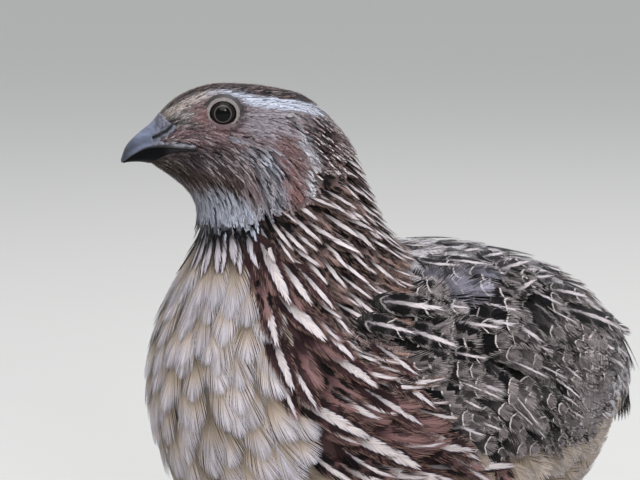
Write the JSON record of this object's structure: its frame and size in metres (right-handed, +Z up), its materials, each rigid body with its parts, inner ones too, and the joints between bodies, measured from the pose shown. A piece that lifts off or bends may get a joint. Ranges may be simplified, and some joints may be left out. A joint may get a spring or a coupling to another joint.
{
  "type": "coturnix quail figure",
  "caption": "Life-size still model of a standing male coturnix quail with its head turned to one side, for display or scale reference.",
  "frame": {"origin": "on the floor, under the middle of the bird's bounding box", "axes": "+X where the breast points, +Y to the bird's left, +Z up"},
  "size_m": [0.1374, 0.079, 0.1495],
  "materials": {
    "feathers": "barred and streaked feathers",
    "breast_feathers": "soft buff feathers",
    "flight_feathers": "vermiculated flight feathers",
    "bill": "dark horn, slightly glossy",
    "eye": "wet and glossy",
    "leg_skin": "small scutes",
    "claw": "dark horn"
  },
  "bodies": {
    "root": {"torso": "breast_feathers", "neck": "feathers", "head": "feathers", "upper_bill": "bill", "lower_bill": "bill", "eye_left": "eye", "eye_right": "eye", "wing_left": "flight_feathers", "wing_right": "flight_feathers", "tail": "flight_feathers", "thigh_left": "feathers", "thigh_right": "feathers", "shank_left": "leg_skin", "shank_right": "leg_skin", "foot_left": "leg_skin", "foot_right": "leg_skin", "claw_left_inner": "claw", "claw_left_middle": "claw", "claw_left_outer": "claw", "claw_left_hind": "claw", "claw_right_inner": "claw", "claw_right_middle": "claw", "claw_right_outer": "claw", "claw_right_hind": "claw"}
  },
  "joints": []
}
